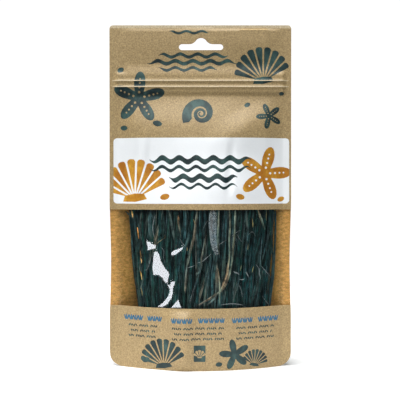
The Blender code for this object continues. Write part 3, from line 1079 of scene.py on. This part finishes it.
class Leg:
    """One upright run of a folded strand, in its shell, as in the frame."""

    def __init__(self, shell, share, draw):
        self.side, self.depth, _, self.lean = shell
        self.share = share
        self.reach = shell_reach(self.side, self.depth)
        self.wave = draw.uniform(0.0002, 0.0006)
        self.wavelength = draw.uniform(0.045, 0.085)
        self.phase = draw.uniform(0.0, 2 * pi)
        self.low = gusset_crest(self.x(0.03)) + LOWEST_ABOVE_GUSSET + draw.uniform(0.0, 0.008)
        self.high = self.room_ends() - draw.uniform(0.0, 0.012)

    def x(self, z):
        sway = self.wave * sin(2 * pi * z / self.wavelength + self.phase)
        return leaning(z, self.share, self.reach, self.lean, 3) + sway

    def room_ends(self):
        """The height where the pouch grows too thin for this shell."""
        z = LEAN_PIVOT
        while z < HIGHEST_TIP and face(self.side, self.x(z), z) > self.depth + ROOM_AT_MIDDLE:
            z += 0.001
        return z


def shell_point(side, depth, x, z):
    return Vector((x, side * (face(side, x, z) - depth), z))


def shell_step(side, depth, x, z):
    """One step of a strand's path: a point of the shell, and the direction out of the shell there."""
    near = 0.001
    across = shell_point(side, depth, x + near, z) - shell_point(side, depth, x - near, z)
    up = shell_point(side, depth, x, z + near) - shell_point(side, depth, x, z - near)
    return shell_point(side, depth, x, z), across.cross(up).normalized()


def run(x_at, side, depth, low, high):
    """The steps up one leg."""
    count = max(3, round((high - low) / RING_STEP))
    heights = [low + (high - low) * i / count for i in range(count + 1)]
    return [shell_step(side, depth, x_at(z), z) for z in heights]


def folded_path(left, right):
    """The steps of a strand that comes down one leg, turns at its foot and climbs the other."""
    low = max(left.low, right.low)
    low += (right.x(low) - left.x(low)) / 2
    start_x, end_x = left.x(low), right.x(low)
    middle, radius = (start_x + end_x) / 2, (end_x - start_x) / 2
    path = list(reversed(run(left.x, left.side, left.depth, low, left.high)))
    turns = max(6, round(pi * radius / RING_STEP))
    for i in range(1, turns):
        a = pi * (1 + i / turns)
        x, z = middle + radius * cos(a), low + radius * sin(a)
        path.append(shell_step(left.side, left.depth, x, z))
    return path + run(right.x, right.side, right.depth, low, right.high)


class Bundle:
    """Strands gathered into one mesh."""

    def __init__(self):
        self.verts, self.faces, self.tones, self.grains, self.edge_highlights = [], [], [], [], []

    def sweep(self, path, width, thickness, sides, twist, turn, tone, seed, all_over_highlight=0.0):
        """One dried strand along a path: a flat tube with lengthwise folds, nicks and slim tips."""
        start = len(self.verts)
        last = len(path) - 1
        length = 0.0
        for i, (point, out) in enumerate(path):
            before, after = path[max(i - 1, 0)][0], path[min(i + 1, last)][0]
            along = (after - before).normalized()
            length += (point - before).length
            flat = along.cross(out).normalized()
            thin = flat.cross(along)
            slim = TIP_WIDTH + (1 - TIP_WIDTH) * smooth(min(i, last - i) / TIP_STEPS)
            roll = twist * sin(length * ROLL_WAVES + turn)
            breadth = 1 + NICKS * noise.noise(Vector((length * NICK_WAVES, seed, 0.0)))
            # A share that comes and goes along the strand, by which its edges are painted pale: a painted
            # highlight.
            wear_and_highlight = 0.35 + 1.4 * noise.noise(Vector((seed * 2.3, length * EDGE_HIGHLIGHT_WAVES, 4.0)))
            wear_and_highlight = min(1.0, max(0.0, wear_and_highlight))
            for k in range(sides):
                a = 2 * pi * k / sides
                crease = 1 + CREASES * noise.noise(Vector((k * 1.7, seed * 3.1, length * CREASE_WAVES)))
                u = cos(a) * width / 2 * breadth
                v = sin(a) * thickness / 2 * crease
                v += CURL * thickness * cos(2 * a + seed) * sin(length * CURL_WAVES + seed)
                offset = flat * (u * cos(roll) - v * sin(roll))
                offset += thin * (u * sin(roll) + v * cos(roll))
                self.verts.append(point + offset * slim)
                self.tones.append(tone)
                # Each point's share of the painted highlight: near the strand's edges, and all over for a
                # strand drawn as a highlight.
                self.edge_highlights.append(max(all_over_highlight, smooth((abs(cos(a)) - 0.55) / 0.4) * wear_and_highlight))
                self.grains += (1.7 * cos(a) + seed * 5, 1.7 * sin(a), length * RIDGE_STRETCH)
        for i in range(last):
            a, b = start + i * sides, start + (i + 1) * sides
            for k in range(sides):
                n = (k + 1) % sides
                self.faces.append((a + k, a + n, b + n, b + k))
        self.faces.append(tuple(start + k for k in range(sides - 1, -1, -1)))
        end = start + last * sides
        self.faces.append(tuple(end + k for k in range(sides)))

    def build(self, name, look, *replaced):
        mesh = bpy.data.meshes.new(name)
        mesh.from_pydata(self.verts, [], self.faces)
        mesh.shade_smooth()
        mesh.materials.append(look)
        mesh.attributes.new("tone", "FLOAT", "POINT").data.foreach_set("value", self.tones)
        # The rim attribute carries the painted highlight along the strands' edges.
        mesh.attributes.new("rim", "FLOAT", "POINT").data.foreach_set("value", self.edge_highlights)
        mesh.attributes.new("grain", "FLOAT_VECTOR", "POINT").data.foreach_set("vector", self.grains)
        mesh.update()
        obj = add_object(name, mesh)
        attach(obj, "root")
        if replaced:
            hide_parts(*replaced)


def folded_strands(look):
    """The folded strands, one piece for each shell."""
    draw = random.Random(SEED)
    tint = random.Random(SEED + 1)
    number = 0
    for place, shell in enumerate(SHELLS):
        count = 2 * shell[2]
        legs = [Leg(shell, (2 * i + 1) / count - 1, draw) for i in range(count)]
        bundle, names = Bundle(), []
        for left, right in zip(legs[::2], legs[1::2]):
            number += 1
            names.append(f"strand_{number:02d}")
            width = STRAND_WIDTH * draw.uniform(0.8, 1.08)
            thickness = STRAND_THICKNESS * draw.uniform(0.8, 1.0)
            twist, turn = radians(draw.uniform(-20, 20)) * 1.2, draw.uniform(0.0, 2 * pi)
            tone = tint.choice((0.0, 0.0, 0.01, 0.02, 0.04, 0.09))
            path = folded_path(left, right)
            bundle.sweep(path, width, thickness, STRAND_SIDES, twist, turn, tone, number * 1.37)
        side = "front" if shell[0] == FRONT else "back"
        bundle.build(f"folded_strands_{side}_{place + 1}", look, *names)


# Loose single strands that fill between the shells: side, depth, how many, width, thickness, lean spread
LOOSE = (
    (FRONT, 0.0026, 34, 0.0022, 0.0010, 0.10),
    (FRONT, 0.0053, 34, 0.0026, 0.0011, 0.09),
    (FRONT, 0.0083, 30, 0.0028, 0.0012, 0.08),
    (FRONT, 0.0120, 22, 0.0030, 0.0013, 0.08),
)
LOOSE_LOW, LOOSE_HIGH = 0.030, 0.118
LOOSE_SIDES = 8


def loose_strands(look):
    draw = random.Random(SEED + 20)
    for place, (side, depth, count, width, thickness, spread) in enumerate(LOOSE):
        bundle = Bundle()
        reach = shell_reach(side, depth)
        for i in range(count):
            share = (i + draw.uniform(0.2, 0.8)) / count * 2 - 1
            lean = draw.gauss(0, spread * 0.5)
            bow, bow_at = draw.uniform(-0.0018, 0.0018), draw.uniform(0.04, 0.09)

            def x_at(z):
                return leaning(z, share, reach, lean, 4) + bow * sin((z - bow_at) * 50)

            low = LOOSE_LOW + draw.uniform(0, 0.006)
            high = LOOSE_HIGH + draw.uniform(0, 0.008)
            while high > 0.08 and face(side, x_at(high), high) < depth + thickness:
                high -= 0.002
            tone = draw.choice((0.0, 0.0, 0.01, 0.03, 0.06, 0.14))
            wide, thick = width * draw.uniform(0.7, 1.7), thickness * draw.uniform(0.8, 1.1)
            twist, turn = radians(draw.uniform(10, 60)), draw.uniform(0, 6)
            path = run(x_at, side, depth, low, high)
            bundle.sweep(path, wide, thick, LOOSE_SIDES, twist, turn, tone, i * 2.3 + place * 17)
        bundle.build(f"loose_strands_{place + 1}", look)


# Strands that show singly behind the film: width in millimetres, tone, and picked places
SINGLES = (
    (1.8, 0.58, ((1020, 70), (1025, 200), (1020, 330), (1025, 430), (1010, 560), (1000, 620), (960, 720),
                 (938, 760))),
    (1.6, 0.48, ((1070, 70), (1065, 250), (1050, 420), (1035, 560), (1010, 650), (960, 740), (880, 800),
                 (760, 870))),
    (1.5, 0.40, ((935, 70), (930, 200), (925, 300), (930, 400), (938, 450))),
    (1.6, 0.30, ((830, 290), (800, 440), (775, 560), (740, 640))),
    (1.8, 0.34, ((760, 70), (745, 180), (730, 300), (700, 420), (670, 560))),
    (1.1, 0.50, ((588, 130), (610, 240), (622, 312))),
    (1.5, 0.22, ((1160, 70), (1170, 250), (1165, 340), (1150, 520), (1145, 640))),
    (2.0, 0.46, ((1250, 70), (1285, 160), (1312, 245))),
    (2.2, 0.20, ((372, 70), (360, 200), (375, 320))),
    (1.8, 0.24, ((300, 70), (290, 200), (296, 330))),
    (1.8, 0.18, ((515, 70), (545, 200), (565, 330))),
    (1.6, 0.16, ((655, 70), (660, 200), (655, 320))),
    (1.4, 0.50, ((925, 560), (938, 680), (940, 780), (938, 880))),
    (1.8, 0.18, ((870, 520), (845, 640), (828, 740), (815, 880))),
    (1.2, 0.22, ((690, 880), (725, 760), (760, 650), (800, 520))),
    (1.3, 0.16, ((1110, 640), (1068, 760), (1045, 880))),
    (1.5, 0.06, ((1398, 70), (1400, 250), (1394, 450), (1385, 620), (1368, 760), (1358, 880))),
    (1.4, 0.10, ((1385, 70), (1372, 300), (1380, 520), (1362, 700), (1350, 880))),
    (1.4, 0.05, ((196, 70), (206, 200), (222, 400), (240, 560), (262, 720), (288, 880))),
    (1.5, 0.08, ((232, 90), (240, 250), (256, 420), (262, 600), (282, 760), (300, 880))),
    (1.3, 0.04, ((165, 92), (190, 118), (222, 150), (250, 190))),
    (1.4, 0.26, ((930, 770), (880, 830), (830, 870))),
)
SINGLE_DEPTH = 0.00065
SINGLE_THICKNESS = 0.0008
SINGLE_STEP = 0.0008

# A broad frosted blade: its measures, and picked places
BLADE_WIDTH = 0.0058
BLADE_THICKNESS = 0.0005
BLADE_DEPTH = 0.0006
BLADE = ((888, 60), (885, 130), (882, 200), (890, 280), (900, 360), (912, 420), (918, 452))

# Thin pale threads, painted highlights of the film's creases: width in millimetres, and picked places
THREAD_DEPTH = 0.0004
THREAD_THICKNESS = 0.0003
THREAD_STEP = 0.0005
CREASE_HIGHLIGHT_THREADS = (
    (0.50, ((665, 562), (705, 552), (735, 540))),
    (0.50, ((745, 522), (795, 508), (830, 480), (870, 445))),
    (0.50, ((930, 372), (965, 350), (1000, 328))),
    (0.45, ((1040, 300), (1075, 270), (1110, 250))),
    (0.50, ((1085, 285), (1105, 320), (1125, 345))),
    (0.60, ((1240, 530), (1265, 565), (1270, 610), (1282, 655))),
    (0.45, ((1280, 540), (1320, 585), (1365, 640))),
    (0.50, ((950, 865), (1030, 855), (1110, 862), (1160, 885))),
    (0.40, ((1290, 790), (1320, 830), (1350, 865))),
    (0.45, ((320, 578), (345, 570), (362, 520), (370, 480))),
    (0.50, ((410, 120), (395, 180), (390, 240), (400, 310))),
    (0.50, ((610, 315), (632, 352), (660, 385))),
    (0.40, ((690, 850), (715, 770), (760, 640))),
    (0.40, ((455, 385), (480, 420), (478, 470), (490, 520))),
    (0.40, ((1090, 690), (1115, 730), (1130, 800))),
    (1.60, ((1056, 590), (1080, 602), (1104, 614))),
    (1.20, ((1158, 592), (1170, 614), (1182, 638))),
    (1.00, ((1106, 654), (1126, 658), (1146, 650))),
    (0.40, ((840, 170), (815, 215), (800, 250))),
    (0.40, ((1175, 290), (1210, 262), (1235, 300))),
)

# Small golden bits: width in millimetres, tone, and picked places
GOLDEN_BITS = (
    # The first six, along the window's left edge, are painted light: the lit back kraft seen through gaps
    # between the strands. The rest are bits of golden frond.
    (1.3, 0.95, ((214, 80), (220, 110), (226, 150))),
    (1.2, 1.00, ((262, 225), (268, 270), (274, 320))),
    (0.9, 0.90, ((284, 415), (290, 450), (294, 470))),
    (1.1, 0.95, ((288, 475), (296, 500), (298, 520))),
    (1.2, 1.00, ((286, 585), (296, 620), (300, 655))),
    (0.8, 0.80, ((292, 725), (300, 760), (302, 790))),
    (0.7, 0.85, ((598, 130), (602, 150), (606, 168))),
    (0.7, 0.72, ((726, 160), (732, 180), (738, 200))),
    (0.6, 0.72, ((486, 290), (492, 305), (486, 318))),
    (0.8, 0.75, ((1208, 150), (1213, 185), (1214, 225))),
    (0.7, 0.72, ((1326, 80), (1325, 120), (1324, 170))),
    (0.6, 0.75, ((1176, 360), (1174, 385), (1172, 408))),
    (0.8, 0.85, ((1222, 548), (1214, 575), (1208, 598))),
    (0.7, 0.70, ((1120, 535), (1116, 560), (1110, 585))),
    (0.6, 0.75, ((672, 390), (673, 405), (672, 422))),
    (0.5, 0.75, ((582, 370), (580, 382), (579, 395))),
    (0.6, 0.66, ((416, 368), (440, 345), (465, 328), (490, 308))),
    (0.6, 0.70, ((1386, 540), (1382, 570), (1378, 598))),
)


def between(a, b, c, d, t):
    """A value between b and c on the smooth curve through four, at a share t of the way."""
    return 0.5 * (2 * b + (c - a) * t + (2 * a - 5 * b + 4 * c - d) * t * t + (3 * b - a - 3 * c + d) * t**3)


def curve_through(points, step):
    """Points along a smooth curve through the given ones, about a step apart."""
    ends = [points[0]] + list(points) + [points[-1]]
    made = []
    for four in zip(ends, ends[1:], ends[2:], ends[3:]):
        parts = max(1, ceil(dist(four[1], four[2]) / step))
        made += [tuple(between(*values, i / parts) for values in zip(*four)) for i in range(parts)]
    return made + [points[-1]]


def film_path(places, depth, step):
    """The steps of a line through picked places, at a depth behind the front film."""
    return [shell_step(FRONT, depth, x, z) for x, z in curve_through(on_film(places), step)]


def single_strands(look, frost_and_highlight):
    """The single strands and golden bits, the frosted blade, and the pale threads, which are painted
    highlights of the film's creases.
    """
    draw = random.Random(SEED + 40)
    bundle = Bundle()
    for i, (width, tone, places) in enumerate(SINGLES):
        path, turn = film_path(places, SINGLE_DEPTH, SINGLE_STEP), draw.uniform(0, 6)
        bundle.sweep(path, width * MM, SINGLE_THICKNESS, 10, radians(8), turn, tone, 3.1 * i + 2)
    bundle.build("single_strands", look)
    bits = Bundle()
    for i, (width, tone, places) in enumerate(GOLDEN_BITS):
        path = film_path(places, THREAD_DEPTH, THREAD_STEP)
        bits.sweep(path, width * MM, THREAD_THICKNESS, 8, 0.0, 0.0, tone, 1.7 * i)
    bits.build("golden_bits", look)
    pale = Bundle()
    blade = film_path(BLADE, BLADE_DEPTH, SINGLE_STEP)
    pale.sweep(blade, BLADE_WIDTH, BLADE_THICKNESS, 14, radians(4), 0.0, 0.0, 9.5)
    for i, (width, places) in enumerate(CREASE_HIGHLIGHT_THREADS):
        path = film_path(places, THREAD_DEPTH, THREAD_STEP)
        # Each thread is pale all over: a painted highlight of a crease in the film.
        pale.sweep(path, width * MM, THREAD_THICKNESS, 6, 0.0, 0.0, 0.0, 2.9 * i, 1.0)
    pale.build("frosted_blade_and_highlight_threads", frost_and_highlight)


# Thin wisps that cross in front of the others, most of them leaning to the right as they rise
WISPS = 56
WISP_DEPTH = 0.0013
WISP_THICKNESS = 0.0007
WISP_WIDTHS = (0.0008, 0.0012, 0.0022, 0.0030)
WISP_LOWEST, WISP_HIGHEST = 0.041, 0.115


def wisps(look):
    draw = random.Random(SEED + 60)
    bundle = Bundle()
    for i in range(WISPS):
        middle_x, middle_z = draw.uniform(-0.044, 0.047), draw.uniform(0.052, 0.104)
        lean, reach = draw.gauss(0.13, 0.13), draw.uniform(0.014, 0.042)
        bow = draw.uniform(-0.0015, 0.0015)
        path = []
        for k in range(25):
            t = k / 12 - 1
            z = middle_z + reach * t
            x = middle_x + lean * reach * t + bow * (1 - t * t)
            if WISP_LOWEST < z < WISP_HIGHEST and abs(x - CONTENT_MIDDLE) < content_half(z) - 0.001:
                path.append(shell_step(FRONT, WISP_DEPTH, x, z))
        tone = draw.choice((0.0, 0.0, 0.02, 0.04, 0.08, 0.14, 0.30))
        if len(path) > 8:
            width, turn = draw.choice(WISP_WIDTHS), draw.uniform(0, 6)
            bundle.sweep(path, width, WISP_THICKNESS, 8, radians(25), turn, tone, i * 1.9)
    bundle.build("wisps", look)


# The studio

# Softboxes: name, place, the height aimed at, width, height, and power in watts
SOFTBOXES = (
    ("overhead_softbox", (-0.15, -0.30, 1.15), 0.10, 1.0, 0.6, 14.7),
    ("left_softbox", (-0.45, -0.18, 0.90), 0.10, 0.4, 0.4, 3.1),
    ("front_softbox", (0.0, -0.95, 1.05), 0.12, 0.6, 0.5, 5.3),
    ("key_softbox", KEY_PLACE, 0.07, 0.13, 0.15, 0.20),
)

# The tabletop, and the glow that grows from the pouch outwards, sooner in depth than across
FLOOR_RADIUS = 0.34
FLOOR_BACK = 0.19
FLOOR_GLOW_NEAR, FLOOR_GLOW = 0.05, 0.52
GLOW_START, GLOW_END = 0.021, 0.055
GLOW_SQUEEZE = (0.5, 1.0, 1.0)

# What surrounds the table: white to the eye, and a little bluish light
BACKDROP_LIGHT = 1.05
ROOM_COLOUR = (0.78, 0.96, 1.0)
ROOM_LIGHT = 0.09

# How strongly the flat facets mirror, as an index of refraction
FLAT_FILM_INDEX = 2.9


def add_camera():
    data = bpy.data.cameras.new("camera")
    data.lens = LENS
    data.sensor_width = SENSOR
    data.clip_start = 0.01
    camera = add_object("camera", data)
    camera.location = (0.0, -CAMERA_BACK, CAMERA_HEIGHT)
    aim = Vector((AIM_SIDE, 0.0, AIM_HEIGHT)) - camera.location
    camera.rotation_euler = aim.to_track_quat("-Z", "Y").to_euler()
    bpy.context.scene.camera = camera


def softbox(name, place, target_height, wide, tall, power):
    data = bpy.data.lights.new(name, "AREA")
    data.shape = "RECTANGLE"
    data.size = wide
    data.size_y = tall
    data.energy = power
    lamp = add_object(name, data)
    lamp.location = place
    aim = Vector((0, 0, target_height)) - Vector(place)
    lamp.rotation_euler = aim.to_track_quat("-Z", "Y").to_euler()


def add_floor():
    """A round white tabletop that glows towards its rim, as a lit sweep does."""
    mesh = bpy.data.meshes.new("floor")
    rim = [(x, y, 0.0) for x, y in arc((0.0, FLOOR_BACK), FLOOR_RADIUS, 0, 350, 35)]
    mesh.from_pydata(rim, [], [tuple(range(len(rim)))])
    made, tree, shader = new_material("white_table")
    place = node(tree, "ShaderNodeTexCoord").outputs["Object"]
    squeezed = node(tree, "ShaderNodeVectorMath", {0: place, 1: GLOW_SQUEEZE}, operation="MULTIPLY")
    away = node(tree, "ShaderNodeVectorMath", {0: squeezed}, operation="LENGTH").outputs["Value"]
    reach = {"Value": away, "From Min": GLOW_START, "From Max": GLOW_END}
    glow = node(tree, "ShaderNodeMapRange", {**reach, "To Min": FLOOR_GLOW_NEAR, "To Max": FLOOR_GLOW})
    feed(shader, {"Base Color": (0.93, 0.93, 0.93), "Roughness": 0.6, "Specular IOR Level": 0.2})
    feed(shader, {"Emission Color": (1, 1, 1), "Emission Strength": glow})
    mesh.materials.append(made)
    table = add_object("floor", mesh)


def add_world():
    """A white backdrop for the eye, and a dim bluish room for the light."""
    world = bpy.data.worlds.new("studio")
    bpy.context.scene.world = world
    world.use_nodes = True
    tree = world.node_tree
    tree.nodes.clear()
    room = node(tree, "ShaderNodeBackground", {"Color": ROOM_COLOUR, "Strength": ROOM_LIGHT})
    seen = node(tree, "ShaderNodeBackground", {"Color": (1, 1, 1), "Strength": BACKDROP_LIGHT})
    to_eye = node(tree, "ShaderNodeLightPath").outputs["Is Camera Ray"]
    mixed = node(tree, "ShaderNodeMixShader", {0: to_eye, 1: room, 2: seen})
    node(tree, "ShaderNodeOutputWorld", {"Surface": mixed})


def add_lights():
    for light in SOFTBOXES:
        softbox(*light)
    bpy.context.scene.view_settings.view_transform = "Standard"


def dress_sheets():
    """The kraft panels and the window film. Returns the plain kraft, which the gusset wears too."""
    kraft = kraft_material("printed_kraft", (0.338, 0.233, 0.108), (0.474, 0.343, 0.169), 0.50)
    teal = ink_material("teal_ink", (0.004, 0.018, 0.022), (0.050, 0.115, 0.105), 0.50)
    white = ink_material("white_ink", (0.94, 0.96, 0.98), (0.96, 0.98, 1.00), 0.45, 0.02)
    gold = ink_material("gold_ink", (0.46, 0.16, 0.012), (0.80, 0.42, 0.040), 0.48)
    blue = ink_material("blue_ink", (0.002, 0.115, 0.235), (0.006, 0.175, 0.330), 0.50)
    # Pale kraft that paints the highlights along the top edge and over the zip's ridges
    highlight_kraft = kraft_material("painted_highlight_kraft", (0.56, 0.45, 0.285), (0.67, 0.55, 0.36), 0.45)
    # The inner kraft seen through the window: its own colour, painted brighter and more saturated to stand for
    # the light inside the pouch.
    inside = kraft_material("inner_kraft_painted_light", (0.55, 0.283, 0.065), (0.9, 0.483, 0.135), 0.45, 700, (0.4, 1, 1))
    looks = [kraft, teal, white, gold, highlight_kraft, blue, inside]
    films = [film_material("clear_film", 0.04), film_material("sealed_film", 0.35)]
    films.append(film_material("flat_film", 0.04, FLAT_FILM_INDEX))

    hole = [slot_outline()]
    front = (front_surface, FRONT, KRAFT, looks)
    high, low, lap = (WINDOW_HIGH, HEIGHT), (0.0, WINDOW_LOW), (WINDOW_LOW - LAP, WINDOW_HIGH + LAP)
    upper = printed_sheet("printed_front_upper", high, FRONT_STEP, hole, upper_prints(), *front)
    lower = printed_sheet("printed_front_lower", low, FRONT_STEP, [], lower_prints(), *front)
    back = printed_sheet("printed_back", (0.0, HEIGHT), BACK_STEP, hole, back_prints(),
                         back_surface, BACK, KRAFT, looks)
    window = printed_sheet("clear_window", lap, FILM_STEP, [], film_areas(),
                           film_surface, FRONT, FILM, films, FILM_SHARP)
    dressed = ((upper, "front_kraft_upper", "kraft"), (lower, "front_kraft_lower", "kraft"),
               (back, "back_kraft", "kraft"), (window, "window_film", "window_film"))
    for piece, replaced, slot in dressed:
        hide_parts(replaced)
    return kraft


def main():
    kraft = dress_sheets()
    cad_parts["base_gusset"].data.materials[0] = kraft
    zip_plastic = plastic_material("zip_plastic_skin", (0.72, 0.75, 0.75), 0.4)
    for name in ("zip_groove_strip", "zip_rib_strip"):
        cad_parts[name].data.materials[0] = zip_plastic
    # The strands' skin, from dark to gold, with pale painted highlights along the edges.
    seaweed = seaweed_material("dried_seaweed_skin", (0.0018, 0.0250, 0.0225), (0.045, 0.084, 0.081),
                               (0.170, 0.168, 0.112), (0.80, 0.48, 0.13), 0.36)
    # The frosted blade's grey skin, with pale edges that are painted highlights. The threads wear its pale
    # colour all over, as painted highlights of the film's creases.
    frost_and_highlight = seaweed_material("frost_and_highlight_skin", (0.070, 0.092, 0.105), (0.15, 0.17, 0.18), (0.20, 0.22, 0.22),
                               (0.30, 0.32, 0.30), 0.40, (0.20, 0.22, 0.22), 0.50)
    folded_strands(seaweed)
    loose_strands(seaweed)
    single_strands(seaweed, frost_and_highlight)
    wisps(seaweed)
    add_floor()
    add_world()
    add_lights()
    add_camera()


main()
